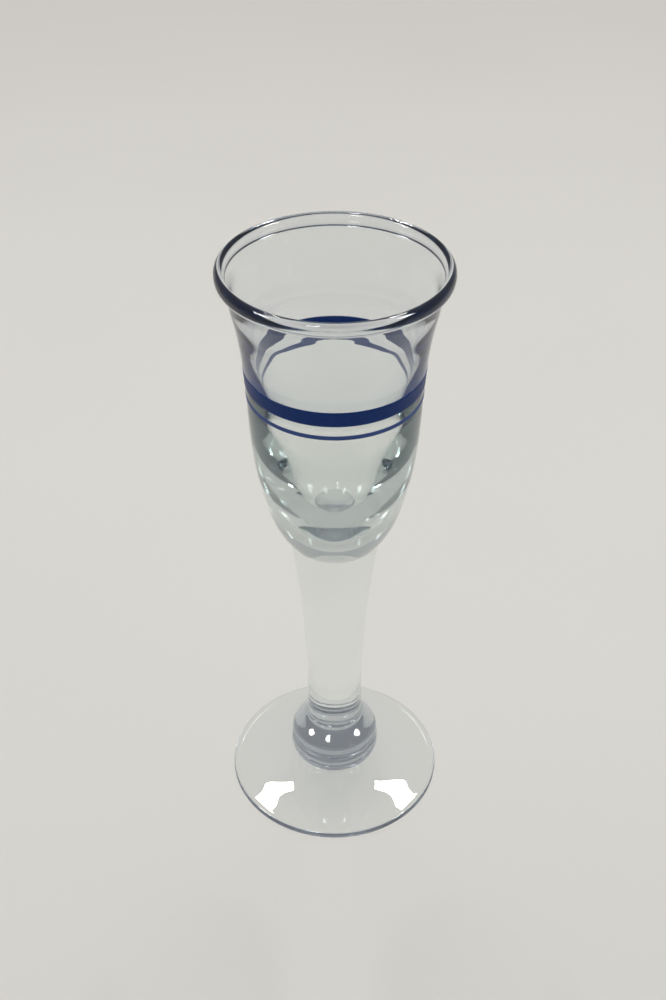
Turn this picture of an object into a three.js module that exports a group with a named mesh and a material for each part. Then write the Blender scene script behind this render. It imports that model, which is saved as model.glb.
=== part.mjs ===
import * as THREE from 'three';

// A schnapps glass of hot-worked clear glass with two blue enamel bands.
// Millimetres, +Z up, origin at the centre of the face that it stands on.
// Every piece is turned round the Z axis, and each stands on the one below it.

// Foot
const footRadius = 28.8;
const footEdgeThickness = 2.8;
const footSeatRadius = 9.5;
const footSeatHeight = 6;
const footHollowRadius = 19;
const footHollowDepth = 0.9;
const footShoulderWidth = 1.6;

// Button, the ball of glass pressed between foot and knop
const buttonHeight = 7;
const buttonRadius = 12.05;

// Knop
const knopSeatRadius = 11.65;
const knopHeight = 7.6;
const knopRadius = 11.85;

// Neck ring, between knop and stem
const neckSeatRadius = 7.85;
const neckHeight = 1.6;
const neckRadius = 8.05;

// Stem, solid
const stemLength = 61.4;
const stemRadius = 7.3;
const stemTopRadius = 11.2;
const stemFlarePower = 2.1;

// Bowl
const bowlHeight = 76.4;
const rimRadius = 26.8;
const lipThickness = 2.2;
const lipHeight = 3.1;
const bowlBaseThickness = 4.2;

// Enamel bands, placed by the glass that shows above each one
const broadBandDrop = 25.1;
const broadBandWidth = 3.9;
const narrowBandGap = 2.6;
const narrowBandWidth = 1.1;
const bandThickness = 0.25;
const bandClearance = 0.05;

// Fineness of the round surfaces
const sides = 40;
const lipSteps = 14;
const edgeSteps = 6;
const slopeSteps = 7;
const ballSteps = 8;
const ringSteps = 3;
const stemSteps = 11;
const bowlSteps = 24;
const cavitySteps = 22;
const bandSteps = 2;

// Heights where one piece ends and the next begins
const buttonBase = footSeatHeight;
const knopBase = buttonBase + buttonHeight;
const neckBase = knopBase + knopHeight;
const stemBase = neckBase + neckHeight;
const bowlBase = stemBase + stemLength;
const rimTop = bowlBase + bowlHeight;

const clearGlass = { color: 0xdde3df, roughness: 0.03, metalness: 0, transparent: true, opacity: 0.35 };
const blueEnamel = { color: 0x1c3566, roughness: 0.22, metalness: 0 };

const glass = new THREE.Group();

function turned(name, outline, finish) {
  const geometry = new THREE.LatheGeometry(outline, sides);
  geometry.rotateX(Math.PI / 2);
  const mesh = new THREE.Mesh(geometry, new THREE.MeshStandardMaterial(finish));
  mesh.name = name;
  glass.add(mesh);
  return mesh;
}

function at(radius, height) {
  return new THREE.Vector2(radius, height);
}

// Points on an ellipse round (radius, height), angles in degrees from outwards to up
function roundOver(radius, height, reach, rise, from, to, steps) {
  const points = [];
  for (let i = 0; i <= steps; i += 1) {
    const angle = THREE.MathUtils.degToRad(from + ((to - from) * i) / steps);
    points.push(at(radius + reach * Math.cos(angle), height + rise * Math.sin(angle)));
  }
  return points;
}

// Foot: a thin disc that rises in a hollow curve to the button's seat
const footSlopeShares = [[0, 0], [0.42, 0.2], [0.72, 0.42], [0.9, 0.7], [1, 1]];

function footOutline() {
  const edge = footEdgeThickness / 2;
  const slopeStart = footRadius - edge - footShoulderWidth;
  const slope = footSlopeShares.map(([inShare, upShare]) => at(
    slopeStart + (footSeatRadius - slopeStart) * inShare,
    footEdgeThickness + (footSeatHeight - footEdgeThickness) * upShare,
  ));
  return [
    at(0, footHollowDepth),
    at(footHollowRadius, 0),
    ...roundOver(footRadius - edge, edge, edge, edge, -90, 90, edgeSteps),
    ...new THREE.SplineCurve(slope).getPoints(slopeSteps),
    at(0, footSeatHeight),
  ];
}

// Button and knop: height shares, and shares of the way from the narrow seat to the widest radius
const buttonSideShares = [[0.19, 0.47], [0.4, 0.82], [0.66, 1], [0.87, 0.95]];
const knopSideShares = [[0.17, 1], [0.42, 0.9], [0.68, 0.54], [0.88, 0.19]];

function ballOutline(base, height, bottomRadius, narrow, widest, sideShares, topRadius) {
  const side = sideShares.map(([upShare, outShare]) => at(
    narrow + (widest - narrow) * outShare,
    base + height * upShare,
  ));
  const curve = new THREE.SplineCurve([at(bottomRadius, base), ...side, at(topRadius, base + height)]);
  return [at(0, base), ...curve.getPoints(ballSteps), at(0, base + height)];
}

// Neck ring: a short bulge between the knop's top and the stem
const neckWidestShare = 0.4;

function neckOutline() {
  const middle = neckBase + neckHeight * neckWidestShare;
  const rise = middle - neckBase;
  const fall = stemBase - middle;
  return [
    at(0, neckBase),
    ...roundOver(neckSeatRadius, middle, neckRadius - neckSeatRadius, rise, -90, 0, ringSteps),
    ...roundOver(stemRadius, middle, neckRadius - stemRadius, fall, 0, 90, ringSteps).slice(1),
    at(0, stemBase),
  ];
}

// Stem: nearly straight above the ring, then flared to meet the bowl
function stemOutline() {
  const side = [];
  for (let i = 0; i <= stemSteps; i += 1) {
    const share = i / stemSteps;
    const radius = stemRadius + (stemTopRadius - stemRadius) * share ** stemFlarePower;
    side.push(at(radius, stemBase + stemLength * share));
  }
  return [at(0, stemBase), ...side, at(0, bowlBase)];
}

// Bowl outside: height shares of the bowl, and shares of the way from stem to rim radius
const bowlOutsideShares = [
  [0, 0], [0.031, 0.108], [0.084, 0.235], [0.189, 0.4], [0.306, 0.513], [0.45, 0.583],
  [0.607, 0.622], [0.764, 0.697], [0.83, 0.754], [0.882, 0.809], [0.922, 0.849], [0.953, 0.9],
];

// Bowl inside: shares of the depth below the lip, and shares of the mouth radius
const bowlInsideShares = [
  [0, 1], [0.0205, 0.9958], [0.063, 0.941], [0.12, 0.895], [0.176, 0.853], [0.261, 0.804],
  [0.346, 0.764], [0.431, 0.72], [0.516, 0.687], [0.658, 0.603], [0.799, 0.495],
  [0.898, 0.361], [0.955, 0.256], [1, 0],
];

const bowlOutside = new THREE.SplineCurve(bowlOutsideShares.map(([upShare, outShare]) => at(
  stemTopRadius + (rimRadius - stemTopRadius) * outShare,
  bowlBase + bowlHeight * upShare,
)));

const lipReach = lipThickness / 2;
const lipRise = lipHeight / 2;
const mouthRadius = rimRadius - lipThickness;
const cavityTop = rimTop - lipRise;
const cavityDepth = cavityTop - bowlBase - bowlBaseThickness;
const bowlInside = new THREE.SplineCurve(bowlInsideShares.map(([downShare, outShare]) => at(
  mouthRadius * outShare,
  cavityTop - cavityDepth * downShare,
)));

function bowlOutline() {
  return [
    at(0, bowlBase),
    ...bowlOutside.getPoints(bowlSteps),
    ...roundOver(rimRadius - lipReach, cavityTop, lipReach, lipRise, -72, 180, lipSteps),
    ...bowlInside.getPoints(cavitySteps).slice(1),
  ];
}

// Bands: thin rings that follow the outside of the bowl
function outsideRadius(height) {
  let low = 0;
  let high = 1;
  while (high - low > Number.EPSILON) {
    const middle = (low + high) / 2;
    if (bowlOutside.getPoint(middle).y < height) {
      low = middle;
    } else {
      high = middle;
    }
  }
  return bowlOutside.getPoint(low).x;
}

function bandOutline(top, width) {
  const inner = [];
  const outer = [];
  for (let i = 0; i <= bandSteps; i += 1) {
    const height = top - width + (width * i) / bandSteps;
    const seat = outsideRadius(height) + bandClearance;
    inner.push(at(seat, height));
    outer.push(at(seat + bandThickness, height));
  }
  return [...outer, ...inner.reverse(), outer[0].clone()];
}

turned('foot', footOutline(), clearGlass);
turned(
  'button',
  ballOutline(
    buttonBase,
    buttonHeight,
    footSeatRadius,
    footSeatRadius,
    buttonRadius,
    buttonSideShares,
    knopSeatRadius,
  ),
  clearGlass,
);
turned(
  'knop',
  ballOutline(
    knopBase,
    knopHeight,
    knopSeatRadius,
    neckSeatRadius,
    knopRadius,
    knopSideShares,
    neckSeatRadius,
  ),
  clearGlass,
);
turned('neck_ring', neckOutline(), clearGlass);
turned('stem', stemOutline(), clearGlass);
turned('bowl', bowlOutline(), clearGlass);

const broadBandTop = rimTop - broadBandDrop;
const narrowBandTop = broadBandTop - broadBandWidth - narrowBandGap;
turned('broad_band', bandOutline(broadBandTop, broadBandWidth), blueEnamel);
turned('narrow_band', bandOutline(narrowBandTop, narrowBandWidth), blueEnamel);

export default glass;
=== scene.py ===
import math

import bpy
import numpy as np
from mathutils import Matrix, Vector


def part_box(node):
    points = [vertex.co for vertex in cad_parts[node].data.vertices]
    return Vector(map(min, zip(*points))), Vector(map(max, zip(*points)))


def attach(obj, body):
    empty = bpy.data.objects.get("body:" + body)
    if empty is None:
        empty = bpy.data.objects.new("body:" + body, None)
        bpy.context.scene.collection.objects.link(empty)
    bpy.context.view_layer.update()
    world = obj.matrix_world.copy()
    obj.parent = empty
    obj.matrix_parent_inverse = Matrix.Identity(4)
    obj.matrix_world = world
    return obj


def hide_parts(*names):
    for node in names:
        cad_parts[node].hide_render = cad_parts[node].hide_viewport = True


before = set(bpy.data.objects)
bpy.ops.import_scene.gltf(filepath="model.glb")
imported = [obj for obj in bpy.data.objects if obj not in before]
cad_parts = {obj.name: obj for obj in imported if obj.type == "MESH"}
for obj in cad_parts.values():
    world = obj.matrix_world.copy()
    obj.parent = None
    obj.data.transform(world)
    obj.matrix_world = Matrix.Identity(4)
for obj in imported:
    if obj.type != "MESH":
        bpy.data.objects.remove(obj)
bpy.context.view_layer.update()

# A schnapps glass of hot-worked clear glass with two blue enamel bands.
# Metres, +Z up. Every piece is turned round the Z axis, takes its height and radius from the CAD node
# that it replaces, and shares a circle with each piece that it is fused to.


def size_of(node):
    """Lowest height, highest height and radius of a CAD node."""
    low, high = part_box(node)
    return low.z, high.z, high.x


FOOT_BASE, FOOT_TOP, FOOT_RADIUS = size_of("foot")
BUTTON_BASE, BUTTON_TOP, BUTTON_RADIUS = size_of("button")
KNOP_BASE, KNOP_TOP, KNOP_RADIUS = size_of("knop")
NECK_BASE, NECK_TOP, NECK_RADIUS = size_of("neck_ring")
STEM_BASE, STEM_TOP, STEM_RADIUS = size_of("stem")
BOWL_BASE, RIM_TOP, RIM_RADIUS = size_of("bowl")

# Radii of the circles where two pieces are fused, as shares of the radius of the piece above
BUTTON_SEAT = 0.788 * BUTTON_RADIUS
KNOP_SEAT = 0.983 * KNOP_RADIUS
NECK_SEAT = 0.975 * NECK_RADIUS
STEM_SEAT = 0.652 * STEM_RADIUS

# The bowl is the exception: it stands on the whole top of the stem, which is the stem's widest circle
BOWL_SEAT = STEM_RADIUS

# Sides of the pieces: shares of the piece's height, and shares of its radius
BUTTON_SIDE_SHARES = [(0.19, 0.888), (0.4, 0.963), (0.66, 0.997), (0.87, 0.99)]
KNOP_SIDE_SHARES = [(0.17, 0.997), (0.42, 0.96), (0.68, 0.845), (0.88, 0.725)]
NECK_SIDE_SHARES = [(0.4, 0.997), (0.8, 0.96)]
STEM_SIDE_SHARES = [
    (0.29, 0.665), (0.453, 0.71), (0.616, 0.768), (0.778, 0.857), (0.8925, 0.9375), (0.974, 0.991),
]

# Foot: the radius of its round edge, and the angles where the edge starts below and meets the top
FOOT_EDGE = 0.0428 * FOOT_RADIUS
FOOT_EDGE_START, FOOT_EDGE_END = -90, 82.5

# Hollow under the foot: shares of the foot's radius, and shares of its height
FOOT_HOLLOW_SHARES = [(0.0, 0.15), (0.35, 0.12), (0.7, 0.05), (0.92, 0.0)]

# Top of the foot: shares of the way in from the edge to the button's seat, and of the way up to it
FOOT_TOP_SHARES = [
    (0.206, 0.145), (0.427, 0.3), (0.593, 0.44), (0.76, 0.615), (0.872, 0.745), (0.945, 0.86), (1.0, 1.0),
]

# Bowl: outside as shares of its height and of the way from seat to rim radius, and its lean at the lip
BOWL_OUTSIDE_SHARES = [
    (0.0, 0.0), (0.0314, 0.108), (0.084, 0.245), (0.1885, 0.4), (0.306, 0.513), (0.45, 0.583),
    (0.607, 0.6222), (0.764, 0.6965), (0.83, 0.7538), (0.882, 0.809), (0.9215, 0.8494), (0.953, 0.9005),
]
BOWL_OUTSIDE_LEAN = 0.366

# Height between the bands where the bowl's two meshes meet
BOWL_PARTING = BOWL_BASE + 0.605 * (RIM_TOP - BOWL_BASE)

# Lip: more than half an ellipse, by its half-axes and the angles where it starts outside and ends inside
LIP_REACH = 0.0425 * RIM_RADIUS
LIP_RISE = 0.066 * RIM_RADIUS
LIP_START, LIP_END = -80.0, 165.0

# Cavity: shares of the bowl's height, with the wall's thickness as a share of the rim's radius, and
# below that with the cavity's own radius as such a share
WALL_SHARES = [
    (0.96, 0.045), (0.92, 0.0572), (0.87, 0.0616), (0.82, 0.0682), (0.74, 0.0776), (0.67, 0.0905),
    (0.59, 0.1167), (0.51, 0.1372),
]
BOTTOM_SHARES = [(0.38, 0.551), (0.26, 0.451), (0.165, 0.315), (0.115, 0.206), (0.075, 0.0)]

# Enamel: how far the bands reach into and out of the bowl's surface, and the rings up a band's side
ENAMEL_INSIDE = 0.0011 * RIM_RADIUS
ENAMEL_OUTSIDE = 0.0022 * RIM_RADIUS
BAND_RINGS = 12

# Fineness of the round surfaces
SIDES = 224
FINEST_STEP = 0.0025 * (RIM_TOP - FOOT_BASE)
LEAST_CURVE_STEPS = 3
LEAST_ARC_STEPS = 6
ON_AXIS = 0.01 * FINEST_STEP

# Seams between fused pieces: how far each face draws back, and the name that marks such faces
SEAM_GAP = 0.000002
FUSED = "fused"

# Clear glass: its surface, with faint cords
GLASS_IOR = 1.5
GLASS_ROUGHNESS = 0.0
GLASS_TINTS = (0.975, 0.99, 0.982), (0.965, 0.984, 0.978)
GLASS_TINT_SCALE, GLASS_TINT_DETAIL = 45.0, 1.0
CORD_SCALE, CORD_DETAIL = 160.0, 2.0
CORD_STRENGTH, CORD_HEIGHT = 0.06, 0.0001
SHADOW_TINT = (0.98, 0.982, 0.982)

# Clear glass: the colour that it turns to in its depth, and how fast. Much of the lip's strong navy
# darkening is painted shade, for the dark crescents in the lip, and part of the knop's darkening is painted
# shade
LIP_DEPTH_WITH_PAINTED_SHADE, LIP_DENSITY_WITH_PAINTED_SHADE = (0.76, 0.79, 0.85), 170.0
BOWL_DEPTH, BOWL_DENSITY = (0.8, 0.84, 0.84), 60.0
STEM_DEPTH, STEM_DENSITY = (0.8, 0.835, 0.855), 15.0
KNOP_DEPTH_WITH_PAINTED_SHADE, KNOP_DENSITY_WITH_PAINTED_SHADE = (0.78, 0.8, 0.84), 80.0

# Enamel: colours where it lies dense and sparse, and the share of light that comes through
BROAD_COLOURS, BROAD_SHEER = ((0.014, 0.052, 0.235), (0.024, 0.085, 0.34)), 0.35
NARROW_COLOURS, NARROW_SHEER = ((0.08, 0.14, 0.38), (0.12, 0.2, 0.5)), 0.4
BRUSH_SCALE, BRUSH_DETAIL = 900.0, 3.0
ENAMEL_ROUGHNESS = 0.3
ENAMEL_SPECULAR = 0.15


def scaled(shares, base, top, inner, outer):
    """(radius, height) points from shares of the height and of the way from inner to outer radius."""
    return [(inner + (outer - inner) * out, base + (top - base) * up) for up, out in shares]


def smooth(points, start=None, end=None):
    """Evenly bent curve through (radius, height) points; start and end are optional directions."""
    p = np.array(points, float)
    gaps = np.linalg.norm(np.diff(p, axis=0), axis=1)
    n = len(p)
    matrix = np.zeros((n, n))
    target = np.zeros((n, 2))
    for i in range(1, n - 1):
        before, after = gaps[i - 1], gaps[i]
        matrix[i, i - 1:i + 2] = after, 2 * (before + after), before
        target[i] = 3 * (after * (p[i] - p[i - 1]) / before + before * (p[i + 1] - p[i]) / after)
    if start is None:
        matrix[0, :2] = 2, 1
        target[0] = 3 * (p[1] - p[0]) / gaps[0]
    else:
        matrix[0, 0] = 1
        target[0] = np.array(start) / np.linalg.norm(start)
    if end is None:
        matrix[-1, -2:] = 1, 2
        target[-1] = 3 * (p[-1] - p[-2]) / gaps[-1]
    else:
        matrix[-1, -1] = 1
        target[-1] = np.array(end) / np.linalg.norm(end)
    slope = np.linalg.solve(matrix, target)
    curve = [p[0]]
    for i, gap in enumerate(gaps):
        steps = max(LEAST_CURVE_STEPS, math.ceil(gap / FINEST_STEP))
        for s in np.linspace(0, 1, steps + 1)[1:]:
            curve.append(
                (2 * s ** 3 - 3 * s ** 2 + 1) * p[i]
                + (s ** 3 - 2 * s ** 2 + s) * gap * slope[i]
                + (3 * s ** 2 - 2 * s ** 3) * p[i + 1]
                + (s ** 3 - s ** 2) * gap * slope[i + 1]
            )
    return [(max(float(r), 0.0), float(z)) for r, z in curve]


def arc(centre, reach, rise, start, end):
    """Points of an ellipse round centre, from one angle in degrees to another."""
    steps = max(LEAST_ARC_STEPS, math.ceil(abs(math.radians(end - start)) * rise / FINEST_STEP))
    angles = np.radians(np.linspace(start, end, steps + 1))
    return [(centre[0] + reach * math.cos(t), centre[1] + rise * math.sin(t)) for t in angles]


def heading(degrees, reach=1.0, rise=1.0):
    """The way that arc() runs at an angle."""
    return -reach * math.sin(math.radians(degrees)), rise * math.cos(math.radians(degrees))


def rings_of(outline):
    """Points of a turned outline, and the point numbers of each of its rings."""
    angles = [2 * math.pi * i / SIDES for i in range(SIDES)]
    around = [(math.cos(t), math.sin(t)) for t in angles]
    closed = outline[0] == outline[-1]
    rings, points = [], []
    for r, z in outline[:-1] if closed else outline:
        first = len(points)
        if r < ON_AXIS:
            rings.append([first])
            points.append((0.0, 0.0, z))
        else:
            rings.append(range(first, first + SIDES))
            points.extend((r * c, r * s, z) for c, s in around)
    if closed:
        rings.append(rings[0])
    return points, rings


def faces_between(low, high):
    """Faces between two neighbouring rings, of which one may be a point on the axis."""
    faces = []
    for i in range(SIDES):
        j = (i + 1) % SIDES
        if len(low) == 1:
            faces.append((low[0], high[j], high[i]))
        elif len(high) == 1:
            faces.append((low[i], low[j], high[0]))
        else:
            faces.append((low[i], low[j], high[j], high[i]))
    return faces


def mark_seams(mesh, on_seam):
    """Mark the faces that lie against the next piece, and make the edges round them sharp."""
    fused = mesh.attributes.new(FUSED, "FLOAT", "FACE")
    fused.data.foreach_set("value", [float(i in on_seam) for i in range(len(mesh.polygons))])
    touching = {}
    for polygon in mesh.polygons:
        for key in polygon.edge_keys:
            touching.setdefault(key, set()).add(polygon.index in on_seam)
    sharp = mesh.attributes.new("sharp_edge", "BOOLEAN", "EDGE")
    sharp.data.foreach_set("value", [len(touching[edge.key]) == 2 for edge in mesh.edges])


def turned(name, node, outline, material, seams=()):
    """Closed piece turned round Z from its outline, which runs from axis to axis or closes on itself.

    The faces of the outline steps named in seams lie against the next piece, a hair apart, so that a ray
    meets both.
    """
    points, rings = rings_of(outline)
    heights = [z for r, z in outline]
    middle = (min(heights) + max(heights)) / 2
    for step in seams:
        inward = math.copysign(SEAM_GAP, middle - outline[step][1])
        for i in (*rings[step], *rings[step + 1]):
            x, y, z = points[i]
            points[i] = (x, y, outline[step][1] + inward)
    faces, on_seam = [], set()
    for step, (low, high) in enumerate(zip(rings, rings[1:])):
        if step in seams:
            on_seam.update(range(len(faces), len(faces) + SIDES))
        faces += faces_between(low, high)
    mesh = bpy.data.meshes.new(name)
    mesh.from_pydata(points, [], faces)
    mesh.materials.append(material)
    mesh.polygons.foreach_set("use_smooth", [True] * len(faces))
    mark_seams(mesh, on_seam)
    mesh.validate()
    mesh.update()
    piece = bpy.data.objects.new(name, mesh)
    bpy.context.scene.collection.objects.link(piece)
    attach(piece, "root")
    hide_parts(node)


def nodes_of(material):
    """The material's node tree, emptied but for its output."""
    material.use_nodes = True
    tree = material.node_tree
    for node in list(tree.nodes):
        if node.type != "OUTPUT_MATERIAL":
            tree.nodes.remove(node)
    return tree, next(n for n in tree.nodes if n.type == "OUTPUT_MATERIAL")


def add(tree, kind, **settings):
    """A new node with its settings."""
    node = tree.nodes.new(kind)
    for key, value in settings.items():
        setattr(node, key, value)
    return node


def noise(tree, source, scale, detail):
    """A noise texture on a coordinate."""
    node = add(tree, "ShaderNodeTexNoise")
    node.inputs["Scale"].default_value = scale
    node.inputs["Detail"].default_value = detail
    tree.links.new(source, node.inputs["Vector"])
    return node.outputs["Fac"]


def blended(tree, factor, first, second):
    """A colour between two, by factor; each of the two is a colour or another node's output."""
    node = add(tree, "ShaderNodeMix", data_type="RGBA")
    tree.links.new(factor, node.inputs["Factor"])
    for side, colour in (("A", first), ("B", second)):
        if isinstance(colour, tuple):
            node.inputs[side].default_value = (*colour, 1)
        else:
            tree.links.new(colour, node.inputs[side])
    return node.outputs["Result"]


def multiplied(tree, first, second):
    """The product of two colours."""
    node = add(tree, "ShaderNodeMix", data_type="RGBA", blend_type="MULTIPLY")
    node.inputs["Factor"].default_value = 1.0
    tree.links.new(first, node.inputs["A"])
    tree.links.new(second, node.inputs["B"])
    return node.outputs["Result"]


def larger(tree, first, second):
    """The larger of two values."""
    node = add(tree, "ShaderNodeMath", operation="MAXIMUM")
    tree.links.new(first, node.inputs[0])
    tree.links.new(second, node.inputs[1])
    return node.outputs[0]


def vector_math(tree, operation, source, by):
    """A vector, worked with a second one that is set, by the given operation."""
    node = add(tree, "ShaderNodeVectorMath", operation=operation)
    tree.links.new(source, node.inputs[0])
    node.inputs[1].default_value = by
    return node.outputs[0]


def eased(tree, source, start, end):
    """0 to 1, smoothly, as a value runs from start to end."""
    node = add(tree, "ShaderNodeMapRange", interpolation_type="SMOOTHSTEP")
    node.inputs["From Min"].default_value = start
    node.inputs["From Max"].default_value = end
    tree.links.new(source, node.inputs["Value"])
    return node.outputs[0]


def bumped(tree, height, strength, distance):
    """A normal that follows a height."""
    node = add(tree, "ShaderNodeBump")
    node.inputs["Strength"].default_value = strength
    node.inputs["Distance"].default_value = distance
    tree.links.new(height, node.inputs["Height"])
    return node.outputs["Normal"]


def clear_glass(name, deep_colour, density):
    """Glass with faint cords in its surface, that darkens with the way that light goes in it.

    Light passes straight where pieces are fused. So do rays that only carry shadow or bounce light, and
    the depth of the glass doesn't darken those.
    """
    material = bpy.data.materials.new(name)
    tree, output = nodes_of(material)
    place = add(tree, "ShaderNodeTexCoord").outputs["Object"]
    glass = add(tree, "ShaderNodeBsdfPrincipled")
    glass.inputs["Roughness"].default_value = GLASS_ROUGHNESS
    glass.inputs["IOR"].default_value = GLASS_IOR
    glass.inputs["Transmission Weight"].default_value = 1.0
    tint = blended(tree, noise(tree, place, GLASS_TINT_SCALE, GLASS_TINT_DETAIL), *GLASS_TINTS)
    tree.links.new(tint, glass.inputs["Base Color"])
    cords = noise(tree, place, CORD_SCALE, CORD_DETAIL)
    tree.links.new(bumped(tree, cords, CORD_STRENGTH, CORD_HEIGHT), glass.inputs["Normal"])
    clear = add(tree, "ShaderNodeBsdfTransparent")
    clear.inputs["Color"].default_value = (*SHADOW_TINT, 1)
    path = add(tree, "ShaderNodeLightPath")
    unseen = larger(tree, path.outputs["Is Shadow Ray"], path.outputs["Is Diffuse Ray"])
    fused = add(tree, "ShaderNodeAttribute", attribute_name=FUSED)
    surface = add(tree, "ShaderNodeMixShader")
    tree.links.new(larger(tree, unseen, fused.outputs["Fac"]), surface.inputs["Fac"])
    tree.links.new(glass.outputs[0], surface.inputs[1])
    tree.links.new(clear.outputs[0], surface.inputs[2])
    tree.links.new(surface.outputs[0], output.inputs["Surface"])
    depth = add(tree, "ShaderNodeVolumeAbsorption")
    depth.inputs["Color"].default_value = (*deep_colour, 1)
    depth.inputs["Density"].default_value = density
    volume = add(tree, "ShaderNodeMixShader")
    tree.links.new(unseen, volume.inputs["Fac"])
    tree.links.new(depth.outputs[0], volume.inputs[1])
    tree.links.new(volume.outputs[0], output.inputs["Volume"])
    return material


def blue_enamel(name, colours, sheer):
    """Fired enamel, brushed on while the glass turned; a share of the light passes through it."""
    material = bpy.data.materials.new(name)
    tree, output = nodes_of(material)
    place = add(tree, "ShaderNodeTexCoord").outputs["Object"]
    colour = blended(tree, noise(tree, place, BRUSH_SCALE, BRUSH_DETAIL), *colours)
    enamel = add(tree, "ShaderNodeBsdfPrincipled")
    tree.links.new(colour, enamel.inputs["Base Color"])
    enamel.inputs["Roughness"].default_value = ENAMEL_ROUGHNESS
    enamel.inputs["Specular IOR Level"].default_value = ENAMEL_SPECULAR
    through = add(tree, "ShaderNodeBsdfTranslucent")
    tree.links.new(colour, through.inputs["Color"])
    mix = add(tree, "ShaderNodeMixShader")
    mix.inputs["Fac"].default_value = sheer
    tree.links.new(enamel.outputs[0], mix.inputs[1])
    tree.links.new(through.outputs[0], mix.inputs[2])
    tree.links.new(mix.outputs[0], output.inputs["Surface"])
    return material


# The lip's glass is the bowl's upper part, and the knop's is also the button's and the foot's. The lip's and
# the knop's darkening in depth is partly painted shade
lip_glass = clear_glass("lip_glass_with_painted_shade", LIP_DEPTH_WITH_PAINTED_SHADE, LIP_DENSITY_WITH_PAINTED_SHADE)
bowl_glass = clear_glass("hot_worked_bowl_glass", BOWL_DEPTH, BOWL_DENSITY)
stem_glass = clear_glass("hot_worked_stem_glass", STEM_DEPTH, STEM_DENSITY)
knop_glass = clear_glass("knop_glass_with_painted_shade", KNOP_DEPTH_WITH_PAINTED_SHADE, KNOP_DENSITY_WITH_PAINTED_SHADE)
broad_enamel = blue_enamel("broad_enamel", BROAD_COLOURS, BROAD_SHEER)
narrow_enamel = blue_enamel("narrow_enamel", NARROW_COLOURS, NARROW_SHEER)


def foot():
    """A thin disc with a round edge, slightly hollow below, that rises to the button's seat."""
    centre = (FOOT_RADIUS - FOOT_EDGE, FOOT_BASE + FOOT_EDGE)
    under = [(out * FOOT_RADIUS, FOOT_BASE + up * (FOOT_TOP - FOOT_BASE)) for out, up in FOOT_HOLLOW_SHARES]
    edge = arc(centre, FOOT_EDGE, FOOT_EDGE, FOOT_EDGE_START, FOOT_EDGE_END)
    start_radius, start_height = edge[-1]
    rise = [
        (start_radius + (BUTTON_SEAT - start_radius) * inward, start_height + (FOOT_TOP - start_height) * up)
        for inward, up in FOOT_TOP_SHARES
    ]
    top = smooth([edge[-1]] + rise, start=heading(FOOT_EDGE_END))
    outline = under + edge + top[1:] + [(0.0, FOOT_TOP)]
    turned("foot_glass", "foot", outline, knop_glass, seams=(len(outline) - 2,))


def between(name, node, side, glass):
    """A piece fused at both ends: a seam below, its side, and a seam above."""
    outline = [(0.0, side[0][1])] + side + [(0.0, side[-1][1])]
    turned(name, node, outline, glass, seams=(0, len(outline) - 2))


def button():
    """The pressed ball that joins foot and knop."""
    side = scaled(BUTTON_SIDE_SHARES, BUTTON_BASE, BUTTON_TOP, 0, BUTTON_RADIUS)
    side = smooth([(BUTTON_SEAT, BUTTON_BASE)] + side + [(KNOP_SEAT, KNOP_BASE)])
    between("button_glass", "button", side, knop_glass)


def knop():
    """The ball above the button, with a crease between them."""
    side = scaled(KNOP_SIDE_SHARES, KNOP_BASE, KNOP_TOP, 0, KNOP_RADIUS)
    side = smooth([(KNOP_SEAT, KNOP_BASE)] + side + [(NECK_SEAT, NECK_BASE)])
    between("knop_glass", "knop", side, knop_glass)


def neck_ring():
    """The short ring between knop and stem."""
    side = scaled(NECK_SIDE_SHARES, NECK_BASE, NECK_TOP, 0, NECK_RADIUS)
    side = smooth([(NECK_SEAT, NECK_BASE)] + side + [(STEM_SEAT, STEM_BASE)])
    between("neck_ring_glass", "neck_ring", side, stem_glass)


def stem():
    """The solid stem, which flares to meet the bowl."""
    side = scaled(STEM_SIDE_SHARES, STEM_BASE, STEM_TOP, 0, STEM_RADIUS)
    side = smooth([(STEM_SEAT, STEM_BASE)] + side + [(BOWL_SEAT, BOWL_BASE)])
    between("stem_glass", "stem", side, stem_glass)


# Outside of the bowl up to its lip, which the cavity and the bands follow too
wall = smooth(
    scaled(BOWL_OUTSIDE_SHARES, BOWL_BASE, RIM_TOP, BOWL_SEAT, RIM_RADIUS), end=(BOWL_OUTSIDE_LEAN, 1),
)


def wall_radius(height):
    """Radius of the bowl's outside at a height below the lip."""
    return float(np.interp(height, [z for r, z in wall], [r for r, z in wall]))


def parted(line):
    """A line of (radius, height) points in two, where it crosses the height at which the bowl is parted."""
    for i, (first, second) in enumerate(zip(line, line[1:])):
        if (first[1] - BOWL_PARTING) * (second[1] - BOWL_PARTING) <= 0:
            share = (BOWL_PARTING - first[1]) / (second[1] - first[1])
            crossing = (first[0] + share * (second[0] - first[0]), BOWL_PARTING)
            return line[:i + 1] + [crossing], [crossing] + line[i + 1:]


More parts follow.
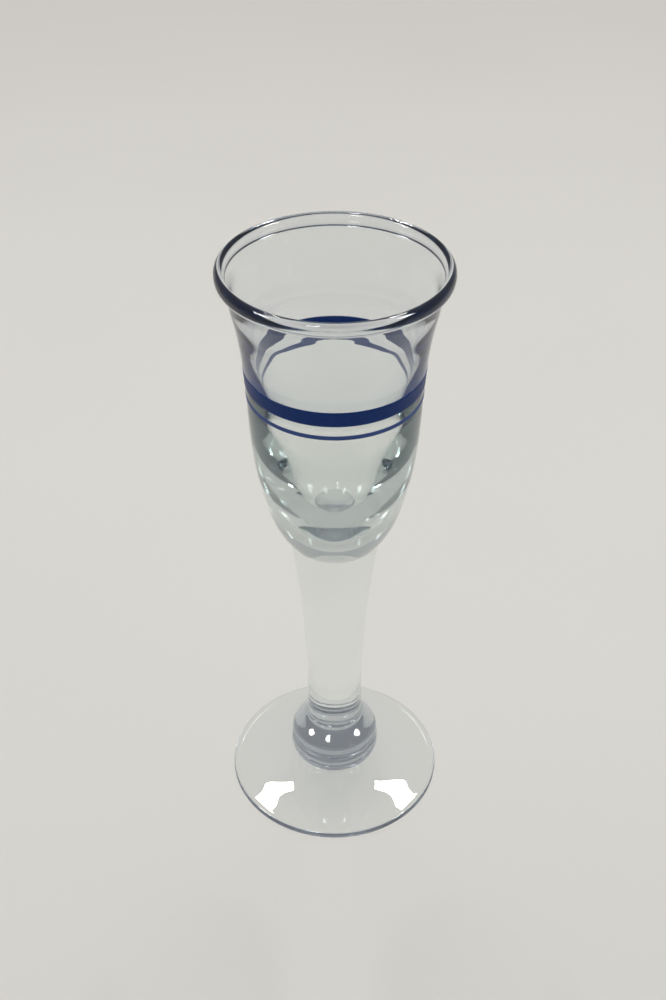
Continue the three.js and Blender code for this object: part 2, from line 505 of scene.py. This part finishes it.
def bowl():
    """Blown trumpet bowl: a bead at the lip, a thin wall and a thick base.

    It has two meshes, fused between the bands: the upper one in the lip's glass, whose darkening in depth is
    mostly painted shade, the lower in the base's.
    """
    centre = (RIM_RADIUS - LIP_REACH, RIM_TOP - LIP_RISE)
    lip = arc(centre, LIP_REACH, LIP_RISE, LIP_START, LIP_END)
    lip_start = heading(LIP_START, LIP_REACH, LIP_RISE)
    lip_end = heading(LIP_END, LIP_REACH, LIP_RISE)
    throat = smooth([wall[-1], lip[0]], start=(BOWL_OUTSIDE_LEAN, 1), end=lip_start)
    walls = scaled(WALL_SHARES, BOWL_BASE, RIM_TOP, 0, RIM_RADIUS)
    cavity = [(wall_radius(height) - thickness, height) for thickness, height in walls]
    cavity += scaled(BOTTOM_SHARES, BOWL_BASE, RIM_TOP, 0, RIM_RADIUS)
    inner = smooth([lip[-1]] + cavity, start=lip_end, end=(-1, 0))
    lower_outside, upper_outside = parted(wall + throat[1:] + lip[1:])
    upper_inside, lower_inside = parted(inner)
    outline = upper_outside + upper_inside[1:] + upper_outside[:1]
    turned("bowl_glass", "bowl", outline, lip_glass, seams=(len(outline) - 2,))
    outline = [(0.0, BOWL_BASE)] + lower_outside + lower_inside
    turned("bowl_base_glass", "bowl", outline, bowl_glass, seams=(0, len(lower_outside)))


def band(node, enamel):
    """A ring of enamel that follows the bowl's outside and is fused into its surface."""
    low, high, _ = size_of(node)
    heights = [float(z) for z in np.linspace(low, high, BAND_RINGS)]
    inside = [(wall_radius(z) - ENAMEL_INSIDE, z) for z in heights]
    outside = [(wall_radius(z) + ENAMEL_OUTSIDE, z) for z in heights]
    outline = outside + inside[::-1] + outside[:1]
    turned(node + "_enamel", node, outline, enamel)


foot()
button()
knop()
neck_ring()
stem()
bowl()
band("broad_band", broad_enamel)
band("narrow_band", narrow_enamel)

# Floor, a plain sheet just below the foot
FLOOR_SIZE = 6.0
FLOOR_DROP = 0.00005
FLOOR_ROUGHNESS = 0.9

# The floor has a long pale field, a painted pool of light that runs ahead from the glass; it dims from near
# to far, painted shade, and is faintly clouded. Past the field's edge it is darker, painted shade.
FLOOR_PALE = (0.755, 0.738, 0.69)
FLOOR_FAR_PAINTED_SHADE = (0.51, 0.49, 0.463)
FAR_START, FAR_END = 0.0, 0.9
FLOOR_PAINTED_SHADE = (0.38, 0.375, 0.355)
FIELD_CENTRE = (0.0, 2.4, 0.0)
FIELD_REACH = (1.3, 2.47, 1.0)
FIELD_FADE = 0.1
CLOUD_SCALE, CLOUD_DETAIL = 5.0, 2.0
CLOUD_TINTS = (1.0, 1.0, 1.0), (0.93, 0.93, 0.935)

# Radiance of the room by the sine of the height above the horizon, ahead of the camera and behind it,
# and how far to each side the one blends into the other
ROOM_AHEAD = [(0.0, 0.45), (0.3, 0.34), (0.6, 0.4), (0.8, 0.55), (1.0, 0.5)]
ROOM_BEHIND = [(0.0, 0.26), (0.3, 0.26), (0.6, 0.4), (0.8, 0.5), (1.0, 0.5)]
ROOM_BLEND = 0.6

# Two windows in a ceiling: places and sizes as shares of the ceiling's height, and their radiance
CEILING = 3.0
WINDOW_RADIANCE = 76.0
WINDOWS = {
    "window_left": ((-0.253, 0.665), (0.062, 0.34)),
    "window_right": ((0.262, 0.66), (0.066, 0.34)),
}

# Three lamps behind the camera that show in the glass and light nothing else
LAMP_RADIANCE = 25.0
LAMPS = {
    "lamp_left": ((-1.85, -0.5), (0.9, 0.4)),
    "lamp_right": ((1.76, -0.56), (0.9, 0.4)),
    "lamp_behind": ((-0.45, -1.2), (0.3, 0.3)),
}

# Camera: lengths in metres, its pitch in degrees, focal length and offset in pixels of the picture, and
# the sensor in millimetres
PICTURE_HEIGHT = 1000
FOCAL = 1390.24
CAMERA_DISTANCE, CAMERA_HEIGHT = 0.272511, 0.304678
CAMERA_PITCH = 37.6205
AXIS_OFFSET = 1.773
SENSOR = 36.0

# Light crosses many faces of glass before it leaves
MOST_BOUNCES = 64
MOST_TRANSPARENT_BOUNCES = 32


def floor_colour_with_painted_shade(tree):
    """The floor's colour, by the place on it, with painted shade far off and past the field's edge."""
    place = add(tree, "ShaderNodeTexCoord").outputs["Object"]
    axes = add(tree, "ShaderNodeSeparateXYZ")
    tree.links.new(place, axes.inputs[0])
    # Painted shade: the floor darkens from near to far.
    pale = blended(tree, eased(tree, axes.outputs["Y"], FAR_START, FAR_END), FLOOR_PALE, FLOOR_FAR_PAINTED_SHADE)
    clouds = blended(tree, noise(tree, place, CLOUD_SCALE, CLOUD_DETAIL), *CLOUD_TINTS)
    field = multiplied(tree, pale, clouds)
    away = vector_math(tree, "SUBTRACT", place, FIELD_CENTRE)
    share = vector_math(tree, "DIVIDE", away, FIELD_REACH)
    reach = add(tree, "ShaderNodeVectorMath", operation="LENGTH")
    tree.links.new(share, reach.inputs[0])
    past_edge = eased(tree, reach.outputs["Value"], 1.0, 1.0 + FIELD_FADE)
    # Painted shade past the edge of the pale field, which is a painted pool of light.
    return blended(tree, past_edge, field, FLOOR_PAINTED_SHADE)


def floor():
    """The pale sheet that the glass stands on, with painted light and shade in its colour."""
    bpy.ops.mesh.primitive_plane_add(size=FLOOR_SIZE, location=(0, 0, -FLOOR_DROP))
    ground = bpy.context.object
    ground.name = "floor"
    material = bpy.data.materials.new("pale_floor_with_painted_shade")
    tree, output = nodes_of(material)
    plain = add(tree, "ShaderNodeBsdfPrincipled")
    plain.inputs["Roughness"].default_value = FLOOR_ROUGHNESS
    tree.links.new(floor_colour_with_painted_shade(tree), plain.inputs["Base Color"])
    tree.links.new(plain.outputs[0], output.inputs["Surface"])
    ground.data.materials.append(material)


def ramp(tree, source, levels):
    """Grey that follows a value through (place, level) stops."""
    shade = add(tree, "ShaderNodeValToRGB")
    tree.links.new(source, shade.inputs[0])
    stops = shade.color_ramp.elements
    for stop, (place, level) in zip((stops[0], stops[1]), (levels[0], levels[-1])):
        stop.position, stop.color = place, (level, level, level, 1)
    for place, level in levels[1:-1]:
        stops.new(place).color = (level, level, level, 1)
    return shade.outputs[0]


def room():
    """A soft grey studio all round, without lamps of its own."""
    world = bpy.data.worlds.new("studio")
    bpy.context.scene.world = world
    world.use_nodes = True
    tree = world.node_tree
    split = add(tree, "ShaderNodeSeparateXYZ")
    tree.links.new(add(tree, "ShaderNodeTexCoord").outputs["Generated"], split.inputs[0])
    ahead = eased(tree, split.outputs["Y"], -ROOM_BLEND, ROOM_BLEND)
    height = split.outputs["Z"]
    light = blended(tree, ahead, ramp(tree, height, ROOM_BEHIND), ramp(tree, height, ROOM_AHEAD))
    tree.links.new(light, tree.nodes["Background"].inputs[0])


def lamp_at(name, place, size, radiance):
    """A lamp in the ceiling that shines down; place and size are shares of the ceiling's height."""
    light = bpy.data.lights.new(name, "AREA")
    light.shape = "RECTANGLE"
    light.size, light.size_y = (share * CEILING for share in size)
    light.energy = radiance * math.pi * light.size * light.size_y
    lamp = bpy.data.objects.new(name, light)
    bpy.context.scene.collection.objects.link(lamp)
    lamp.location = (place[0] * CEILING, place[1] * CEILING, CEILING)
    return lamp


def camera():
    """The camera at the photo's viewing angle."""
    data = bpy.data.cameras.new("camera")
    data.sensor_fit = "AUTO"
    data.sensor_width = SENSOR
    data.lens = FOCAL / PICTURE_HEIGHT * SENSOR
    view = bpy.data.objects.new("camera", data)
    bpy.context.scene.collection.objects.link(view)
    view.location = (0, -CAMERA_DISTANCE, CAMERA_HEIGHT)
    turn = math.atan(AXIS_OFFSET / FOCAL / math.cos(math.radians(CAMERA_PITCH)))
    view.rotation_euler = (math.radians(90 - CAMERA_PITCH), 0, turn)
    bpy.context.scene.camera = view


floor()
room()
for name, (place, size) in WINDOWS.items():
    lamp_at(name, place, size, WINDOW_RADIANCE)
for name, (place, size) in LAMPS.items():
    lamp_at(name, place, size, LAMP_RADIANCE).visible_diffuse = False
camera()

cycles = bpy.context.scene.cycles
cycles.max_bounces = MOST_BOUNCES
cycles.glossy_bounces = MOST_BOUNCES
cycles.transmission_bounces = MOST_BOUNCES
cycles.transparent_max_bounces = MOST_TRANSPARENT_BOUNCES
bpy.context.scene.view_settings.view_transform = "Standard"
